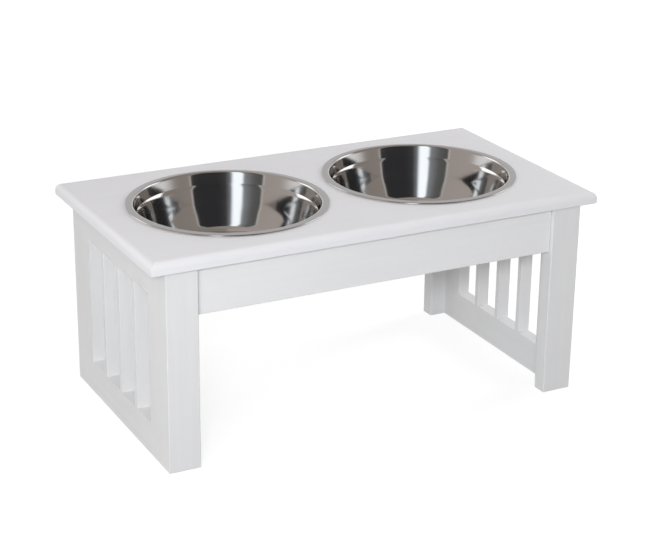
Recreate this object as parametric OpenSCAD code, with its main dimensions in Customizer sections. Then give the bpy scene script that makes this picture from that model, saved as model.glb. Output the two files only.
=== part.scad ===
// Raised pet feeder: a white painted stand with slatted ends, and two steel bowls that lift out of its top.
// Millimetres, +Z up. The origin is on the floor under the middle of the stand, and the front faces -Y.

/* [Bowls] */
// Diameter over the rolled rim
rim_d = 244; // [200:1:280]
// Width of the rim that lies on the board
rim_w = 9.4; // [7:0.2:14]
// Height of the rim above its foot, on the inside
rim_rise = 2.4; // [2:0.1:3.4]
// Height of the rim above its foot, at its outer edge
rim_edge_h = 1.6; // [1.4:0.1:1.9]
// Radius of the rim's outer edge
rim_edge_r = 1.3; // [1.2:0.1:1.5]
// Radius of the turn from the collar out to the rim
rim_turn_r = 3.4; // [2:0.2:4]
// Depth from the rim's foot to the floor inside
bowl_depth = 68; // [56:1:90]
// Height of the collar under the rim's foot
collar_h = 12.8; // [9:0.2:20]
// Lean of the collar from upright, in degrees
collar_lean = 14; // [8:0.5:20]
// Width of the step from the collar in to the wall
step_w = 1.6; // [1.4:0.1:2.4]
// Height of the step
step_h = 2.6; // [2.4:0.1:3]
// Radius of the bend from the collar into the step
step_r = 2; // [1.5:0.5:3]
// Radius of the bend from the step into the wall
step_foot_r = 18; // [8:1:18]
// Lean of the wall from upright above its bend, in degrees
wall_lean = 15.5; // [10:0.5:18]
// Lean of the wall from upright below its bend, in degrees
foot_lean = 25; // [20:0.5:28]
// Share of the wall's height that lies below its bend
bend_share = 0.5; // [0.45:0.05:0.6]
// Radius of the wall's bend
bend_r = 90; // [60:5:100]
// Inside radius of the turn from the wall to the floor
floor_r = 15; // [10:1:22]
// Thickness of the steel sheet
sheet_t = 1; // [0.8:0.1:1.4]

/* [Top board] */
// Thickness of the board
top_t = 15; // [13:1:22]
// Radius of the rounded-over upper edge
edge_r = 8.5; // [4:0.5:11]
// Gap between the two bowls' rims
bowl_gap = 18; // [10:1:60]
// Board left between a rim and the board's end
end_margin = 39; // [34:1:80]
// Board left between a rim and the board's front or back edge
front_margin = 35; // [30:1:70]
// Gap round a bowl's collar in its cut-out
cutout_gap = 1.5; // [0.8:0.1:3]

/* [Stand] */
// Height from the floor to the top of the board
stand_h = 260; // [200:1:400]
// Overhang of the board past each slatted end
end_overhang = 19; // [8:1:24]
// Overhang of the board past the legs at the front and back
front_overhang = 6.5; // [3:0.5:12]
// Width of a leg, seen from the front
leg_w = 39; // [36:1:60]
// Thickness of a leg, from front to back
leg_t = 20; // [19:1:26]

/* [Slatted ends] */
// Thickness of the stiles, rails and slats
end_t = 16.5; // [14:0.5:19]
// Width of a stile
stile_w = 34.5; // [30:0.5:45]
// Height of the top rail
top_rail_h = 42; // [38:1:60]
// Height of the bottom rail
bottom_rail_h = 41; // [30:1:60]
// Width of a slat
slat_w = 8; // [7:0.5:14]
// Radius of the slats' long edges
slat_ease = 0.6; // [0.3:0.1:1.2]

/* [Aprons] */
// Height of an apron
apron_h = 58; // [54:1:80]
// Thickness of an apron
apron_t = 15; // [14:0.5:18]
// Distance that an apron is set back behind the legs' faces
apron_recess = 5; // [2:0.5:6]
// Radius of the legs' and aprons' exposed edges
edge_ease = 1; // [0.4:0.1:2]

/* [Dowels and tenons] */
// Diameter of a dowel
dowel_d = 8; // [6:0.5:8]
// Length of a dowel
dowel_l = 30; // [26:1:32]
// Length of a dowel that stays in the thinner piece of its joint
dowel_short = 12; // [9:0.5:13]
// Length of a dowel that reaches into the top board
top_dowel_grip = 9; // [6:0.5:10]
// Distance between the two dowels of a rail's joint
rail_dowel_pitch = 20; // [14:1:22]
// Distance between the two dowels of an apron's joint
apron_dowel_pitch = 34; // [28:1:40]
// Thickness of a slat's tenon, across the end
tenon_t = 9; // [6:0.5:10]
// Width of a slat's tenon, along the end
tenon_w = 5; // [3:0.5:6]
// Length of a slat's tenon
tenon_l = 8; // [5:0.5:10]

/* [Cam fittings] */
// Diameter of a cam disc
cam_d = 15; // [12:0.5:16]
// Depth of a cam disc
cam_t = 12; // [10:0.5:12.5]
// Distance from a board's end to the middle of its cam
cam_reach = 24; // [20:0.5:28]
// Distance from a board's inner face to the middle of its cam bolts
bolt_inset = 7.5; // [6.5:0.5:8]
// Distance from a stile to the cams in the top rail
cam_inset = 32; // [26:1:40]
// Diameter of a cam bolt's screw and shank
bolt_d = 6; // [5:0.5:7]
// Length of a cam bolt's screw
bolt_grip = 10; // [8:0.5:11]
// Diameter of a cam bolt's neck
neck_d = 4; // [3:0.5:4.5]
// Length of a cam bolt's neck
neck_l = 4; // [3:0.5:5]
// Diameter of a cam bolt's head
head_d = 6.6; // [5.5:0.2:7.4]
// Length of a cam bolt's head
head_l = 3; // [2:0.5:4]
// Width of the driver's cross in a cam disc
cross_w = 1.6; // [1:0.2:2.4]
// Length of the driver's cross
cross_l = 8; // [5:0.5:10]
// Depth of the driver's cross
cross_depth = 2; // [1:0.2:2.4]

/* [Fits] */
// Gap under a bowl's rim
seat_gap = 0.2; // [0.1:0.1:0.5]
// Gap between an apron's end and its leg
apron_gap = 0.5; // [0.2:0.1:0.9]
// Gap round a dowel, tenon, cam disc or screw in its hole
fit_gap = 0.1; // [0.05:0.05:0.3]
// Gap past the end of a dowel, tenon or screw
end_gap = 1; // [0.5:0.5:2]
// Gap round a cam bolt's shank and head
bolt_gap = 0.5; // [0.3:0.1:0.8]

/* [Hidden] */
$fn = 64;
paint = "#f4f4f5";
steel = "#b9bcc0";
zinc = "#a7a9ab";
beech = "#d8b98a";

// Bowl, measured from the rim's foot
rim_r = rim_d / 2;
collar_r = rim_r - rim_w;
neck_r = collar_r - (collar_h + rim_rise) * tan(collar_lean);
wall_r = neck_r - step_w;
wall_z = -collar_h - step_h;
bend_h = bend_share * (bowl_depth + wall_z);
bend_x = wall_r - (bowl_depth + wall_z - bend_h) * tan(wall_lean);
foot_r = bend_x - bend_h * tan(foot_lean);
arc_step = 8;
bowl_x = (rim_d + bowl_gap) / 2;

// Board and stand
top_w = 2 * (bowl_x + rim_r + end_margin);
top_d = rim_d + 2 * front_margin;
cutout_r = collar_r + sheet_t + cutout_gap;
under_z = stand_h - top_t;
end_x = top_w / 2 - end_overhang;
leg_y = top_d / 2 - front_overhang;
leg_x = end_x - leg_w;
stile_y = leg_y - leg_t;

// Slatted ends
inner_x = end_x - end_t;
middle_x = end_x - end_t / 2;
rail_y = stile_y - stile_w;
slat_count = 3;
slot_w = (2 * rail_y - slat_count * slat_w) / (slat_count + 1);
slot_top_z = under_z - top_rail_h;
slot_h = slot_top_z - bottom_rail_h;

// Aprons
apron_y = leg_y - apron_recess - apron_t;
apron_middle_y = apron_y + apron_t / 2;
apron_x = leg_x - apron_gap;
apron_z = under_z - apron_h;
apron_middle_z = under_z - apron_h / 2;

// Places of the dowels and cams
dowel_long = dowel_l - dowel_short;
stile_dowel_z = [for (i = [0:2]) bottom_rail_h + slot_h * (i + 0.5) / 3];
top_rail_dowel_z = [for (s = [-1, 1]) under_z - top_rail_h / 2 + s * rail_dowel_pitch / 2];
bottom_rail_dowel_z = [for (s = [-1, 1]) bottom_rail_h / 2 + s * rail_dowel_pitch / 2];
rail_dowel_z = concat(top_rail_dowel_z, bottom_rail_dowel_z);
apron_dowel_z = [for (s = [-1, 1]) apron_middle_z + s * apron_dowel_pitch / 2];
top_dowel_y = (slot_w + slat_w) / 2;
top_dowel_z = under_z - dowel_l + top_dowel_grip;
top_cam_y = rail_y - cam_inset;
top_cam_z = under_z - cam_reach;
top_bolt_x = inner_x + bolt_inset;
apron_cam_x = apron_x - cam_reach;
apron_bolt_y = apron_y + bolt_inset;

// Holes for the dowels, and for the cam bolts' screws, shanks and discs
hole_d = dowel_d + 2 * fit_gap;
screw_hole_d = bolt_d + 2 * fit_gap;
shank_hole_d = head_d + 2 * bolt_gap;
cam_hole_d = cam_d + 2 * fit_gap;
cam_hole_t = cam_t + fit_gap;

// Direction in which a path of [x, y, radius] corners leaves corner i, and its turn to the left there
function heading(path, i) =
    let (d = [path[i + 1][0] - path[i][0], path[i + 1][1] - path[i][1]]) d / norm(d);
function turning(path, i) =
    let (a = heading(path, i - 1), b = heading(path, i)) atan2(a[0] * b[1] - a[1] * b[0], a * b);

// Points of a path's corner i, as an arc of the corner's radius
function corner_arc(path, i) =
    let (
        r = path[i][2],
        ahead = heading(path, i - 1),
        turn = turning(path, i),
        side = sign(turn),
        start = [path[i][0], path[i][1]] - r * tan(abs(turn) / 2) * ahead,
        inward = side * [-ahead[1], ahead[0]],
        from = atan2(-inward[1], -inward[0]),
        steps = ceil(abs(turn) / arc_step)
    )
    [for (n = [0:steps]) let (a = from + turn * n / steps) start + r * (inward + [cos(a), sin(a)])];

// Points of a whole path, with its inner corners rounded
function rounded(path) =
    [
        for (i = [0:len(path) - 1])
            each i > 0 && i < len(path) - 1 ? corner_arc(path, i) : [[path[i][0], path[i][1]]]
    ];

// The same path at a distance to its right
function beside(path, t) =
    [
        for (i = [0:len(path) - 1])
            let (
                a = heading(path, max(i - 1, 0)),
                b = heading(path, min(i, len(path) - 2)),
                out = t * [a[1] + b[1], -a[0] - b[0]] / (1 + a * b),
                bend = i > 0 && i < len(path) - 1 ? t * sign(turning(path, i)) : 0
            )
            [path[i][0] + out[0], path[i][1] + out[1], path[i][2] + bend]
    ];

function reversed(list) = [for (i = [len(list) - 1:-1:0]) list[i]];

// Along the end, the middle of slat i, counted from the front
function slat_y(i) = -rail_y + (i + 1) * slot_w + (i + 0.5) * slat_w;

// Places what is modelled at the back right, at another side, edge or corner: -1 is left or front
module at_side(side) mirror([side < 0 ? 1 : 0, 0, 0]) children();
module at_edge(edge) mirror([0, edge < 0 ? 1 : 0, 0]) children();
module at_corner(side, edge) at_side(side) at_edge(edge) children();
module at_sides() for (side = [-1, 1]) at_side(side) children();
module at_corners() for (side = [-1, 1], edge = [-1, 1]) at_corner(side, edge) children();

// A rod from a point, along +X, +Y or +Z
module rod_x(from, d, l) translate(from) rotate([0, 90, 0]) cylinder(d = d, h = l);
module rod_y(from, d, l) translate(from) rotate([-90, 0, 0]) cylinder(d = d, h = l);
module rod_z(from, d, l) translate(from) cylinder(d = d, h = l);

// A board's section from the origin, with a radius for each corner, going round from the origin
module eased_section(w, h, radii) {
    corners = [[0, 0], [1, 0], [1, 1], [0, 1]];
    difference() {
        square([w, h]);
        for (i = [0:3]) {
            r = radii[i];
            far = corners[i];
            if (r > 0)
                translate([far[0] * w, far[1] * h])
                    mirror([far[0], 0])
                        mirror([0, far[1]])
                            difference() {
                                translate([-r, -r]) square(2 * r);
                                translate([r, r]) circle(r);
                            }
        }
    }
}

// Board with rounded-over upper edges that mitre at its corners, two cut-outs, and blind holes underneath
module top_board() {
    radii = [edge_ease, edge_ease, edge_r, edge_r];
    color(paint)
        difference() {
            intersection() {
                translate([-top_w / 2, top_d / 2, under_z])
                    rotate([90, 0, 0])
                        linear_extrude(top_d) eased_section(top_w, top_t, radii);
                translate([-top_w / 2, -top_d / 2, under_z])
                    rotate([90, 0, 90])
                        linear_extrude(top_w) eased_section(top_d, top_t, radii);
            }
            at_sides() rod_z([bowl_x, 0, under_z - top_t], 2 * cutout_r, 3 * top_t);
            at_corners() {
                rod_z([middle_x, top_dowel_y, under_z - end_gap], hole_d, top_dowel_grip + 2 * end_gap);
                rod_z([top_bolt_x, top_cam_y, under_z - end_gap], screw_hole_d, bolt_grip + 2 * end_gap);
            }
        }
}

// Plank between two legs, with cams let into its inner face
module apron(edge) {
    radii = [edge_ease, edge_ease, 0, 0];
    color(paint)
        at_edge(edge)
            difference() {
                translate([-apron_x, apron_y, apron_z])
                    rotate([90, 0, 90])
                        linear_extrude(2 * apron_x) eased_section(apron_t, apron_h, radii);
                at_sides() {
                    for (z = apron_dowel_z)
                        rod_x([apron_x - dowel_l / 2 - end_gap, apron_middle_y, z], hole_d, dowel_l);
                    rod_x([apron_cam_x, apron_bolt_y, apron_middle_z], shank_hole_d, 2 * cam_reach);
                    rod_y([apron_cam_x, apron_y - end_gap, apron_middle_z], cam_hole_d, cam_hole_t + end_gap);
                }
            }
}

// Leg, drilled for the stile behind it and for the apron beside it
module leg(side, edge) {
    radii = [edge_ease, 0, edge_ease, edge_ease];
    bolt_from = [leg_x - end_gap, apron_bolt_y, apron_middle_z];
    color(paint)
        at_corner(side, edge)
            difference() {
                translate([leg_x, stile_y, 0])
                    linear_extrude(under_z) eased_section(leg_w, leg_t, radii);
                for (z = stile_dowel_z)
                    rod_y([middle_x, stile_y - end_gap, z], hole_d, dowel_short + 2 * end_gap);
                for (z = apron_dowel_z)
                    rod_x([leg_x - end_gap, apron_middle_y, z], hole_d, dowel_l / 2 + 2 * end_gap);
                rod_x(bolt_from, screw_hole_d, bolt_grip + 2 * end_gap);
            }
}

// Upright of a slatted end, drilled on both edges
module stile(side, edge) {
    color(paint)
        at_corner(side, edge)
            difference() {
                translate([inner_x, rail_y, 0]) cube([end_t, stile_w, under_z]);
                for (z = stile_dowel_z)
                    rod_y([middle_x, stile_y - dowel_long - end_gap, z], hole_d, dowel_l);
                for (z = rail_dowel_z)
                    rod_y([middle_x, rail_y - end_gap, z], hole_d, dowel_long + 2 * end_gap);
            }
}

// Rail of a slatted end from height z, with a hole for each dowel at its ends
module rail(z, h, dowels) {
    difference() {
        translate([inner_x, -rail_y, z]) cube([end_t, 2 * rail_y, h]);
        for (edge = [-1, 1], dowel_z = dowels)
            at_edge(edge)
                rod_y([middle_x, rail_y - dowel_short - end_gap, dowel_z], hole_d, dowel_l);
    }
}

// Mortises for the slats' tenons, from height z
module mortises(z) {
    for (i = [0:slat_count - 1])
        translate([middle_x - tenon_t / 2 - fit_gap, slat_y(i) - tenon_w / 2 - fit_gap, z])
            cube([tenon_t + 2 * fit_gap, tenon_w + 2 * fit_gap, tenon_l + 2 * end_gap]);
}

// Upper rail, with mortises below, cams let into its inner face, and holes up to the board
module top_rail(side) {
    color(paint)
        at_side(side)
            difference() {
                rail(slot_top_z, top_rail_h, top_rail_dowel_z);
                mortises(slot_top_z - end_gap);
                for (edge = [-1, 1])
                    at_edge(edge) {
                        rod_z([middle_x, top_dowel_y, top_dowel_z - end_gap], hole_d, dowel_l);
                        rod_z([top_bolt_x, top_cam_y, top_cam_z], shank_hole_d, 2 * cam_reach);
                        rod_x([inner_x - end_gap, top_cam_y, top_cam_z], cam_hole_d, cam_hole_t + end_gap);
                    }
            }
}

// Lower rail, which stands on the floor
module bottom_rail(side) {
    color(paint)
        at_side(side)
            difference() {
                rail(0, bottom_rail_h, bottom_rail_dowel_z);
                mortises(bottom_rail_h - tenon_l - end_gap);
            }
}

// Slat with a tenon at each end
module slat(side, i) {
    color(paint)
        at_side(side)
            translate([middle_x, slat_y(i), 0]) {
                translate([-end_t / 2, -slat_w / 2, bottom_rail_h])
                    linear_extrude(slot_h)
                        eased_section(end_t, slat_w, [slat_ease, slat_ease, slat_ease, slat_ease]);
                translate([-tenon_t / 2, -tenon_w / 2, bottom_rail_h - tenon_l])
                    cube([tenon_t, tenon_w, slot_h + 2 * tenon_l]);
            }
}

// Half section of the bowl: up its inner face and over the rim, then back down its outer face
module bowl_section() {
    show_face = [
        [0, -bowl_depth, 0],
        [foot_r, -bowl_depth, floor_r],
        [bend_x, bend_h - bowl_depth, bend_r],
        [wall_r, wall_z, step_foot_r],
        [neck_r, -collar_h, step_r],
        [collar_r, rim_rise, rim_turn_r],
        [rim_r, rim_edge_h, rim_edge_r],
        [rim_r, 0, 0]
    ];
    polygon(concat(rounded(show_face), reversed(rounded(beside(show_face, sheet_t)))));
}

// Pressed steel bowl, hung by its rim
module bowl(side) {
    color(steel)
        translate([side * bowl_x, 0, stand_h + seat_gap])
            rotate_extrude() bowl_section();
}

// Dowels between the legs and the stiles
module stile_dowels() {
    color(beech)
        at_corners()
            for (z = stile_dowel_z) rod_y([middle_x, stile_y - dowel_long, z], dowel_d, dowel_l);
}

// Dowels between the rails and the stiles
module rail_dowels() {
    color(beech)
        at_corners()
            for (z = rail_dowel_z) rod_y([middle_x, rail_y - dowel_short, z], dowel_d, dowel_l);
}

// Dowels between the aprons and the legs
module apron_dowels() {
    color(beech)
        at_corners()
            for (z = apron_dowel_z) rod_x([leg_x - dowel_l / 2, apron_middle_y, z], dowel_d, dowel_l);
}

// Dowels between the top rails and the board
module top_dowels() {
    color(beech)
        at_corners() rod_z([middle_x, top_dowel_y, top_dowel_z], dowel_d, dowel_l);
}

// Bolt that stands along +Z, with its head about the origin and its screw past the height of the joint
module cam_bolt(joint) {
    rod_z([0, 0, -head_l / 2], head_d, head_l);
    rod_z([0, 0, 0], neck_d, head_l / 2 + neck_l);
    rod_z([0, 0, head_l / 2 + neck_l], bolt_d, joint + bolt_grip - head_l / 2 - neck_l);
}

// Disc that stands along +Z from its outer face at the origin, cut for the bolt's head from the side at +X
module cam_disc() {
    difference() {
        cylinder(d = cam_d, h = cam_t);
        rod_x([-head_l / 2 - bolt_gap, 0, bolt_inset], shank_hole_d, cam_d);
        for (turn = [0, 90])
            rotate(turn)
                translate([-cross_l / 2, -cross_w / 2, -cross_depth])
                    cube([cross_l, cross_w, 2 * cross_depth]);
    }
}

// Bolts screwed into the legs
module apron_cam_bolts() {
    color(zinc)
        at_corners()
            translate([apron_cam_x, apron_bolt_y, apron_middle_z])
                rotate([0, 90, 0]) cam_bolt(cam_reach + apron_gap);
}

// Discs in the aprons' inner faces
module apron_cam_discs() {
    color(zinc)
        at_corners()
            translate([apron_cam_x, apron_y, apron_middle_z])
                rotate([-90, 0, 0]) cam_disc();
}

// Bolts screwed into the board's underside
module top_cam_bolts() {
    color(zinc)
        at_corners() translate([top_bolt_x, top_cam_y, top_cam_z]) cam_bolt(cam_reach);
}

// Discs in the top rails' inner faces
module top_cam_discs() {
    color(zinc)
        at_corners()
            translate([inner_x, top_cam_y, top_cam_z])
                rotate([0, 90, 0]) rotate(180) cam_disc();
}

top_board();
apron(-1);  // front_apron
apron(1);  // back_apron
leg(-1, -1);  // front_left_leg
leg(1, -1);  // front_right_leg
leg(-1, 1);  // back_left_leg
leg(1, 1);  // back_right_leg
stile(-1, -1);  // left_front_stile
stile(-1, 1);  // left_back_stile
top_rail(-1);  // left_top_rail
bottom_rail(-1);  // left_bottom_rail
slat(-1, 0);  // left_front_slat
slat(-1, 1);  // left_middle_slat
slat(-1, 2);  // left_back_slat
stile(1, -1);  // right_front_stile
stile(1, 1);  // right_back_stile
top_rail(1);  // right_top_rail
bottom_rail(1);  // right_bottom_rail
slat(1, 0);  // right_front_slat
slat(1, 1);  // right_middle_slat
slat(1, 2);  // right_back_slat
bowl(-1);  // left_bowl
bowl(1);  // right_bowl
stile_dowels();
rail_dowels();
apron_dowels();
top_dowels();
apron_cam_bolts();
apron_cam_discs();
top_cam_bolts();
top_cam_discs();
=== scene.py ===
"""A raised dog feeder stand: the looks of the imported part, with its floor, light and camera."""

from math import pi, radians, tan

import bmesh
import bpy
from mathutils import Matrix, Vector


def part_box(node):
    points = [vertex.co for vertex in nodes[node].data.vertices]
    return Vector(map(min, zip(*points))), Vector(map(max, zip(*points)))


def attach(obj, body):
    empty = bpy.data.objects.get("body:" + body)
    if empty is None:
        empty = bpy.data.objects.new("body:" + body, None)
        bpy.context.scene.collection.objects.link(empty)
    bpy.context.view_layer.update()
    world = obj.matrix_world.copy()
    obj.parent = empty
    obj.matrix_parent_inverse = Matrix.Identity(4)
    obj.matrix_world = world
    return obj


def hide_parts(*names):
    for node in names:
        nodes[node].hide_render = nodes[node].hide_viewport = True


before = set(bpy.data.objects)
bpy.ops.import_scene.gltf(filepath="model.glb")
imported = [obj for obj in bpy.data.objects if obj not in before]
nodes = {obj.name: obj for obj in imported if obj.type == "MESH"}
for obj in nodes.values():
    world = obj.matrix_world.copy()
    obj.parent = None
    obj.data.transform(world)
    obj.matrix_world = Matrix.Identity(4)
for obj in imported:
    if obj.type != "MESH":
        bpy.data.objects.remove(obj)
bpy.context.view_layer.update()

collection = bpy.context.scene.collection


# Slatted ends: two legs, two stiles, two rails and three slats at each end, cut from fibreboard.
# They are dowelled and glued, filled and sanded flush, and sprayed with a satin white paint, whose
# film has the faint ripple and uneven sheen of a sprayed coat.
def new_material(name):
    material = bpy.data.materials.new(name)
    material.use_nodes = True
    return material, material.node_tree


def feed(tree, socket, value):
    """Links another node's output to an input socket, or gives the input a plain value."""
    if isinstance(value, bpy.types.NodeSocket):
        tree.links.new(value, socket)
    else:
        socket.default_value = value


def add(tree, kind, **settings):
    """Adds a node, with its properties and what its inputs are fed given by name."""
    node = tree.nodes.new(kind)
    for name, value in settings.items():
        if name in node.bl_rna.properties:
            setattr(node, name, value)
        else:
            feed(tree, node.inputs[name.replace("_", " ")], value)
    return node


def calc(tree, operation, *values):
    """Works out a number from other numbers and sockets."""
    node = add(tree, "ShaderNodeMath", operation=operation)
    for socket, value in zip(node.inputs, values):
        feed(tree, socket, value)
    return node.outputs["Value"]


def spread(tree, source, low, high, start=0.3, end=0.7):
    """Turns a range of the source, by default a noise's middle, into values from low to high."""
    node = add(
        tree, "ShaderNodeMapRange", Value=source, From_Min=start, From_Max=end, To_Min=low, To_Max=high
    )
    return node.outputs["Result"]


def noise(tree, vector, scale, detail, grit=0.6):
    node = add(tree, "ShaderNodeTexNoise", Vector=vector, Scale=scale, Detail=detail, Roughness=grit)
    return node.outputs["Fac"]


def tint(tree, share, under, over):
    """Mixes two colours, from under where the share is 0 to over where it is 1."""
    node = add(tree, "ShaderNodeMix", data_type="RGBA", Factor=share)
    for name, colour in (("A", under), ("B", over)):
        plain = not isinstance(colour, bpy.types.NodeSocket)
        feed(tree, node.inputs[name], (*colour, 1) if plain else colour)
    return node.outputs["Result"]


def dent(tree, height, strength, depth, under=None):
    """Dents a surface by a height, over other dents where there are any under it."""
    node = add(tree, "ShaderNodeBump", Height=height, Strength=strength, Distance=depth)
    if under is not None:
        feed(tree, node.inputs["Normal"], under)
    return node.outputs["Normal"]


def satin_paint(name, colour, shade, sheen, run):
    """Sprayed white paint. Colour and shade are its lightest and darkest tone, sheen its roughness, and
    run the axis that the boards lie along, which the sanding marks under the paint follow."""
    cloud_scale = 9.0
    sheen_scale = 34.0
    streak_scale = 170.0
    ripple_scale = 420.0
    sanding_scale = 1900.0
    grit = 0.55
    streak_squeeze = 0.04
    mottle_range = (0.7, 1.3)
    ripple_strength = 0.35
    ripple_depth = 0.00003
    sanding_strength = 0.2
    sanding_depth = 0.000012
    material, tree = new_material(name)
    paint = tree.nodes["Principled BSDF"]
    place = add(tree, "ShaderNodeTexCoord").outputs["Object"]
    squeeze = [streak_squeeze if axis == run else 1.0 for axis in "XYZ"]
    along = add(tree, "ShaderNodeMapping", Vector=place, Scale=squeeze).outputs["Vector"]
    clouds = noise(tree, place, cloud_scale, detail=4, grit=grit)
    streaks = noise(tree, along, streak_scale, detail=3, grit=grit)
    mottle = spread(tree, calc(tree, "ADD", clouds, streaks), 0, 1, *mottle_range)
    feed(tree, paint.inputs["Base Color"], tint(tree, mottle, colour, shade))
    gloss = noise(tree, place, sheen_scale, detail=5, grit=grit)
    feed(tree, paint.inputs["Roughness"], spread(tree, gloss, *sheen))
    waves = noise(tree, place, ripple_scale, detail=1, grit=grit)
    ripple = dent(tree, waves, ripple_strength, ripple_depth)
    marks = noise(tree, along, sanding_scale, detail=2, grit=grit)
    sanding = dent(tree, marks, sanding_strength, sanding_depth, under=ripple)
    feed(tree, paint.inputs["Normal"], sanding)
    return material


def finish_nodes(material, *names):
    for name in names:
        nodes[name].data.materials.clear()
        nodes[name].data.materials.append(material)


end_white = (0.757, 0.757, 0.757)
end_shade = (0.72, 0.72, 0.72)
satin = (0.36, 0.46)
upright_paint = satin_paint("upright_paint", end_white, end_shade, satin, run="Z")
rail_paint = satin_paint("rail_paint", end_white, end_shade, satin, run="Y")
for side in ("left", "right"):
    finish_nodes(upright_paint, f"front_{side}_leg", f"back_{side}_leg")
    finish_nodes(upright_paint, f"{side}_front_stile", f"{side}_back_stile")
    for slat in ("front", "middle", "back"):
        finish_nodes(upright_paint, f"{side}_{slat}_slat")
    finish_nodes(rail_paint, f"{side}_top_rail", f"{side}_bottom_rail")


# Aprons: a board along the front and one along the back, set back a little from the legs' faces.
# Each is held at both ends by two dowels and a cam fitting. Its coat is a little whiter than the ends'.
apron_white = (0.80, 0.80, 0.805)
apron_shade = (0.775, 0.775, 0.78)
apron_paint = satin_paint("apron_paint", apron_white, apron_shade, satin, run="X")
finish_nodes(apron_paint, "front_apron", "back_apron")


# Top board: one panel with a routed round-over along its upper edges, mitred at the corners, and two
# round cut-outs that the bowls hang in. Dowels and cam fittings hold it down on the ends' top rails.
# Its coat is as white as the aprons', a little bluer and a little smoother.
top_white = (0.80, 0.80, 0.82)
top_shade = (0.775, 0.775, 0.795)
top_sheen = (0.32, 0.42)
top_paint = satin_paint("top_paint", top_white, top_shade, top_sheen, run="X")
finish_nodes(top_paint, "top_board")


# Dowels: bare turned beech, glued into the joints between the legs, stiles, rails, aprons and top.
# Nothing of them shows once the stand is put together.
def bare_beech():
    pale = (0.52, 0.36, 0.21)
    dark = (0.40, 0.26, 0.14)
    sheen = (0.55, 0.7)
    ray_scale = 900.0
    material, tree = new_material("bare_beech")
    wood = tree.nodes["Principled BSDF"]
    rays = noise(tree, add(tree, "ShaderNodeTexCoord").outputs["Object"], ray_scale, detail=3)
    feed(tree, wood.inputs["Base Color"], tint(tree, spread(tree, rays, 0, 1), pale, dark))
    feed(tree, wood.inputs["Roughness"], spread(tree, rays, *sheen))
    return material


finish_nodes(bare_beech(), "stile_dowels", "rail_dowels", "apron_dowels", "top_dowels")


# Cam fittings: steel bolts screwed into the legs and the top, and cast zinc discs that grip their
# heads from the inner faces of the aprons and top rails. Only the discs' faces show, from inside.
def cast_zinc():
    pale = (0.56, 0.57, 0.58)
    dark = (0.43, 0.44, 0.46)
    sheen = (0.32, 0.5)
    grain_scale = 1500.0
    skin_strength = 0.4
    skin_depth = 0.00005
    material, tree = new_material("cast_zinc")
    metal = tree.nodes["Principled BSDF"]
    metal.inputs["Metallic"].default_value = 1.0
    grain = noise(tree, add(tree, "ShaderNodeTexCoord").outputs["Object"], grain_scale, detail=4)
    feed(tree, metal.inputs["Base Color"], tint(tree, spread(tree, grain, 0, 1), pale, dark))
    feed(tree, metal.inputs["Roughness"], spread(tree, grain, *sheen))
    feed(tree, metal.inputs["Normal"], dent(tree, grain, skin_strength, skin_depth))
    return material


finish_nodes(cast_zinc(), "apron_cam_bolts", "apron_cam_discs", "top_cam_bolts", "top_cam_discs")


# Bowls: each is pressed from one stainless sheet, with a round floor, a leaning wall, a wider collar
# above a small step, and a rim that is rolled over to rest on the board. The inside is polished on a
# spindle, which leaves faint rings. They lift straight out of the cut-outs.
def polished_steel():
    """Steel with rings round the middle of either bowl, which lie at the same distance from x = 0."""
    colour = (0.66, 0.65, 0.64, 1)
    sheen = (0.07, 0.12)
    ring_scale = 2600.0
    ring_strength = 0.08
    ring_depth = 0.00001
    smear_scale = 22.0
    low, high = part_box("right_bowl")
    bowl_x = (low.x + high.x) / 2
    material, tree = new_material("spindle_steel")
    steel = tree.nodes["Principled BSDF"]
    steel.inputs["Metallic"].default_value = 1.0
    steel.inputs["Base Color"].default_value = colour
    place = add(tree, "ShaderNodeTexCoord").outputs["Object"]
    apart = add(tree, "ShaderNodeSeparateXYZ", Vector=place).outputs
    across = calc(tree, "SUBTRACT", calc(tree, "ABSOLUTE", apart["X"]), bowl_x)
    flat = add(tree, "ShaderNodeCombineXYZ", X=across, Y=apart["Y"]).outputs["Vector"]
    radius = add(tree, "ShaderNodeVectorMath", operation="LENGTH", Vector=flat).outputs["Value"]
    turned = add(tree, "ShaderNodeCombineXYZ", X=radius, Y=apart["Z"]).outputs["Vector"]
    smears = noise(tree, place, smear_scale, detail=4)
    feed(tree, steel.inputs["Roughness"], spread(tree, smears, *sheen))
    rings = noise(tree, turned, ring_scale, detail=3)
    feed(tree, steel.inputs["Normal"], dent(tree, rings, ring_strength, ring_depth))
    return material


def rounded_section(bm, start, corners, after):
    """Draws a section from a point through corners, each with its radius, to the point after them."""
    arc_step = radians(4)
    end = bm.verts.new((start[0], 0, start[1]))
    points = [Vector(corner[:2]) for corner in corners] + [Vector(after)]
    for (x, z, r), target in zip(corners, points[1:]):
        corner = Vector((x, z))
        ahead = (corner - Vector((end.co.x, end.co.z))).normalized()
        turned = (target - corner).normalized()
        angle = ahead.angle_signed(turned)
        side = Vector((ahead.y, -ahead.x)) if angle > 0 else Vector((-ahead.y, ahead.x))
        tangent = corner - ahead * r * tan(abs(angle) / 2)
        centre = tangent + side * r
        end = bmesh.ops.extrude_vert_indiv(bm, verts=[end])["verts"][0]
        end.co = (tangent.x, 0, tangent.y)
        made = bmesh.ops.spin(
            bm, geom=[end], cent=(centre.x, 0, centre.y), axis=(0, 1, 0), angle=angle,
            steps=max(3, round(abs(angle) / arc_step)), use_merge=False,
        )
        end = next(part for part in made["geom_last"] if isinstance(part, bmesh.types.BMVert))
    end = bmesh.ops.extrude_vert_indiv(bm, verts=[end])["verts"][0]
    end.co = (after[0], 0, after[1])


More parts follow.
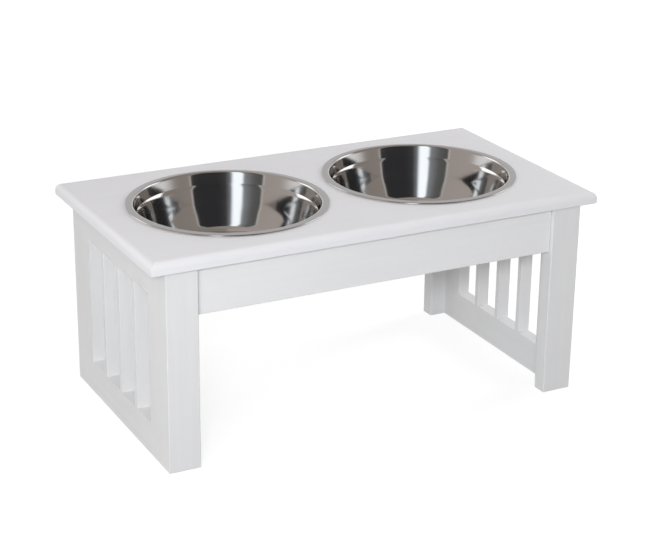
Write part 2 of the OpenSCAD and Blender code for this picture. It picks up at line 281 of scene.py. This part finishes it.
def pressed_bowl(side):
    """Spins the section of the bowl's upper face, and gives the sheet its thickness below that."""
    sheet = 0.001
    seat_gap = 0.0002
    rim_w = 0.0094
    rim_rise = 0.00239
    rim_edge_h = 0.0016
    rim_edge_r = 0.0013
    rim_turn_r = 0.0034
    depth = 0.068
    collar_h = 0.0128
    collar_lean = radians(14)
    step_w = 0.0016
    step_h = 0.0026
    step_r = 0.002
    step_foot_r = 0.018
    wall_lean = radians(15.5)
    foot_lean = radians(25)
    bend_share = 0.5
    bend_r = 0.09
    floor_r = 0.015
    round_steps = 192
    merge_gap = 0.00001
    level = 0.99
    low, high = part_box(f"{side}_bowl")
    rim_r = (high.y - low.y) / 2
    foot_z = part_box("top_board")[1].z + seat_gap
    floor_z = foot_z - depth
    collar_r = rim_r - rim_w
    neck_z = foot_z - collar_h
    neck_r = collar_r - (collar_h + rim_rise) * tan(collar_lean)
    wall_z = neck_z - step_h
    wall_r = neck_r - step_w
    bend_z = floor_z + bend_share * (wall_z - floor_z)
    bend_x = wall_r - (wall_z - bend_z) * tan(wall_lean)
    foot_r = bend_x - (bend_z - floor_z) * tan(foot_lean)
    bm = bmesh.new()
    rounded_section(
        bm,
        start=(0, floor_z),
        corners=(
            (foot_r, floor_z, floor_r),
            (bend_x, bend_z, bend_r),
            (wall_r, wall_z, step_foot_r),
            (neck_r, neck_z, step_r),
            (collar_r, foot_z + rim_rise, rim_turn_r),
            (rim_r, foot_z + rim_edge_h, rim_edge_r),
        ),
        after=(rim_r, foot_z),
    )
    bmesh.ops.spin(
        bm, geom=bm.verts[:] + bm.edges[:], cent=(0, 0, 0), axis=(0, 0, 1), angle=2 * pi,
        steps=round_steps, use_merge=True,
    )
    bmesh.ops.remove_doubles(bm, verts=bm.verts, dist=merge_gap)
    bmesh.ops.recalc_face_normals(bm, faces=bm.faces)
    if next(face for face in bm.faces if abs(face.normal.z) > level).normal.z < 0:
        bmesh.ops.reverse_faces(bm, faces=bm.faces)
    bmesh.ops.solidify(bm, geom=bm.faces, thickness=sheet)
    bmesh.ops.translate(bm, verts=bm.verts, vec=((low.x + high.x) / 2, 0, 0))
    return bm


def new_piece(name, bm, material, sharp=radians(35)):
    """Makes a piece of a finished bmesh, smooth apart from edges sharper than the given angle."""
    mesh = bpy.data.meshes.new(name)
    bm.to_mesh(mesh)
    bm.free()
    mesh.shade_smooth()
    mesh.set_sharp_from_angle(angle=sharp)
    mesh.materials.append(material)
    piece = bpy.data.objects.new(name, mesh)
    collection.objects.link(piece)
    return piece


steel = polished_steel()
for side in ("left", "right"):
    bowl = new_piece(f"{side}_pressed_bowl", pressed_bowl(side), steel)
    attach(bowl, f"{side}_bowl")
    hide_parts(f"{side}_bowl")


# Floor: a plain white sweep that the stand is on, so bright that it goes to white in the picture
# apart from the soft shadow under the stand. Away from the stand it has a little more light.
def white_floor():
    size = 14.0
    gap = 0.0001
    colour = (0.34, 0.34, 0.34, 1)
    near = 0.6
    far = 2.2
    near_glow = 0.76
    far_glow = 0.83
    bm = bmesh.new()
    lowered = Matrix.Translation((0, 0, -gap))
    bmesh.ops.create_grid(bm, x_segments=1, y_segments=1, size=size / 2, matrix=lowered)
    material, tree = new_material("white_floor")
    tree.nodes.clear()
    rays = add(tree, "ShaderNodeLightPath").outputs
    seen = calc(tree, "MAXIMUM", rays["Is Camera Ray"], rays["Is Glossy Ray"])
    shown = calc(tree, "MAXIMUM", seen, rays["Is Transmission Ray"])
    place = add(tree, "ShaderNodeTexCoord").outputs["Object"]
    away = add(tree, "ShaderNodeVectorMath", operation="LENGTH", Vector=place).outputs["Value"]
    glow = calc(tree, "MULTIPLY", shown, spread(tree, away, near_glow, far_glow, near, far))
    rough = add(tree, "ShaderNodeBsdfDiffuse", Color=colour)
    lift = add(tree, "ShaderNodeEmission", Color=(1, 1, 1, 1), Strength=glow)
    both = add(tree, "ShaderNodeAddShader")
    feed(tree, both.inputs[0], rough.outputs["BSDF"])
    feed(tree, both.inputs[1], lift.outputs["Emission"])
    add(tree, "ShaderNodeOutputMaterial", Surface=both.outputs["Shader"])
    floor = new_piece("floor", bm, material)


white_floor()


# Studio: a room with brown-grey walls, a pale panel at each side and a dark flag over the camera with
# a strip light in it, all of which the polished bowls show. Soft boxes light the paint: the main one
# beside the camera, two weak ones at the left, one at the right and a wide, weak one overhead.
def studio_room():
    """Paints the room on the world, in degrees: across from over the camera, and up from level. An edge
    is soft, and is given by where it is still nothing and where it is full."""
    camera_side = radians(117.3)
    left_wall = (0.47, 0.42, 0.39)
    right_wall = (0.29, 0.255, 0.235)
    wall_change = (-100, 100)
    back_wall = (0.54, 0.54, 0.54)
    back_side = (115, 140)
    back_top = (55, 40)
    panel = (1.6, 1.6, 1.6)
    panel_front = (96, 101)
    panel_back = (135, 125)
    panel_foot = (9, 11)
    panel_top = (36, 29)
    skirting = (0.9, 0.9, 0.9)
    skirting_front = (60, 95)
    skirting_top = (8, 6)
    flag_left = (-44.5, -44)
    flag_right = (52, 51.5)
    flag_foot = (7.5, 8.5)
    flag_top = (60, 58)
    flag_reach = 60.0
    flag_hem = (0.62, 0.60, 0.58)
    flag_dark = (0.034, 0.034, 0.037)
    strip_light = (1.4, 1.5, 1.58)
    flag_tones = (
        (-44.0, flag_hem),
        (-42.5, flag_hem),
        (-41.0, (0.09, 0.09, 0.09)),
        (-30.0, (0.14, 0.14, 0.14)),
        (-18.0, (0.28, 0.30, 0.325)),
        (-15.0, strip_light),
        (-4.5, strip_light),
        (-0.5, (0.20, 0.22, 0.245)),
        (6.0, (0.05, 0.05, 0.052)),
        (16.0, flag_dark),
        (49.0, flag_dark),
        (50.5, flag_hem),
        (52.0, flag_hem),
    )
    world = bpy.data.worlds.new("studio")
    bpy.context.scene.world = world
    world.use_nodes = True
    tree = world.node_tree
    view = add(tree, "ShaderNodeTexCoord").outputs["Generated"]
    turn = (0, 0, camera_side)
    facing = add(tree, "ShaderNodeMapping", vector_type="POINT", Vector=view, Rotation=turn)
    apart = add(tree, "ShaderNodeSeparateXYZ", Vector=facing.outputs["Vector"]).outputs
    across = calc(tree, "DEGREES", calc(tree, "ARCTAN2", apart["Y"], apart["X"]))
    aside = calc(tree, "ABSOLUTE", across)
    up = calc(tree, "DEGREES", calc(tree, "ARCSINE", apart["Z"]))

    def edge(angle, nothing, full):
        node = add(
            tree, "ShaderNodeMapRange", interpolation_type="SMOOTHSTEP", Value=angle,
            From_Min=min(nothing, full), From_Max=max(nothing, full),
            To_Min=float(nothing > full), To_Max=float(nothing < full),
        )
        return node.outputs["Result"]

    def patch(*edges):
        """Is 1 inside all of the edges, each an angle with its limits, and 0 outside any of them."""
        share = 1.0
        for angle, limits in edges:
            share = calc(tree, "MULTIPLY", share, edge(angle, *limits))
        return share

    place = spread(tree, across, 0, 1, -flag_reach, flag_reach)
    flag = add(tree, "ShaderNodeValToRGB", Fac=place)
    stops = flag.color_ramp.elements
    while len(stops) < len(flag_tones):
        stops.new(0.5)
    for stop, (angle, tone) in zip(stops, flag_tones):
        stop.position = (angle + flag_reach) / (2 * flag_reach)
        stop.color = (*tone, 1)

    back_area = patch((aside, back_side), (up, back_top))
    panel_area = patch((aside, panel_front), (aside, panel_back), (up, panel_foot), (up, panel_top))
    flag_area = patch((across, flag_left), (across, flag_right), (up, flag_foot), (up, flag_top))
    skirting_area = patch((aside, skirting_front), (up, skirting_top))
    room = tint(tree, edge(across, *wall_change), left_wall, right_wall)
    room = tint(tree, back_area, room, back_wall)
    room = tint(tree, panel_area, room, panel)
    room = tint(tree, flag_area, room, flag.outputs["Color"])
    room = tint(tree, skirting_area, room, skirting)
    feed(tree, tree.nodes["Background"].inputs["Color"], room)


studio_room()


def soft_box(name, place, aim, size, watts):
    """A lamp that the bowls don't show."""
    cool_white = (0.96, 0.977, 1.0)
    lamp = bpy.data.lights.new(name, "AREA")
    lamp.shape = "RECTANGLE"
    lamp.size, lamp.size_y = size
    lamp.energy = watts
    lamp.color = cool_white
    holder = bpy.data.objects.new(name, lamp)
    holder.location = place
    holder.rotation_euler = (Vector(aim) - Vector(place)).to_track_quat("-Z", "Y").to_euler()
    holder.visible_glossy = False
    collection.objects.link(holder)


soft_box("key_box", place=(-1.52, -2.65, 1.47), aim=(-0.1, -0.1, 0.2), size=(0.6, 0.45), watts=53)
soft_box("low_box", place=(-1.98, -1.96, 0.45), aim=(0, 0, 0.14), size=(1.3, 0.6), watts=8)
soft_box("side_box", place=(-1.15, -0.95, 0.75), aim=(-0.2, 0, 0.15), size=(0.6, 0.6), watts=4)
soft_box("right_box", place=(2.2, 0.4, 0.9), aim=(0.25, 0, 0.15), size=(1.0, 1.0), watts=33)
soft_box("top_box", place=(-0.4, -0.2, 2.3), aim=(-0.4, -0.2, 0), size=(2.4, 2.4), watts=3)
bpy.context.scene.view_settings.view_transform = "Standard"


# Camera: a long lens in front of the stand, to its left and a little above it. Its place and its
# turn were fitted to the board's and legs' corners and to the rims of both bowls.
def photo_camera():
    place = (-0.9444, -1.8298, 0.9431)
    heading = radians(27.313)
    down = radians(21.201)
    roll = radians(0.664)
    data = bpy.data.cameras.new("camera")
    data.sensor_width = 36.0
    data.sensor_fit = "HORIZONTAL"
    data.lens = 98.24
    camera = bpy.data.objects.new("camera", data)
    turn = Matrix.Rotation(-heading, 4, "Z") @ Matrix.Rotation(pi / 2 - down, 4, "X")
    camera.matrix_world = Matrix.Translation(place) @ turn @ Matrix.Rotation(roll, 4, "Z")
    collection.objects.link(camera)
    bpy.context.scene.camera = camera


photo_camera()
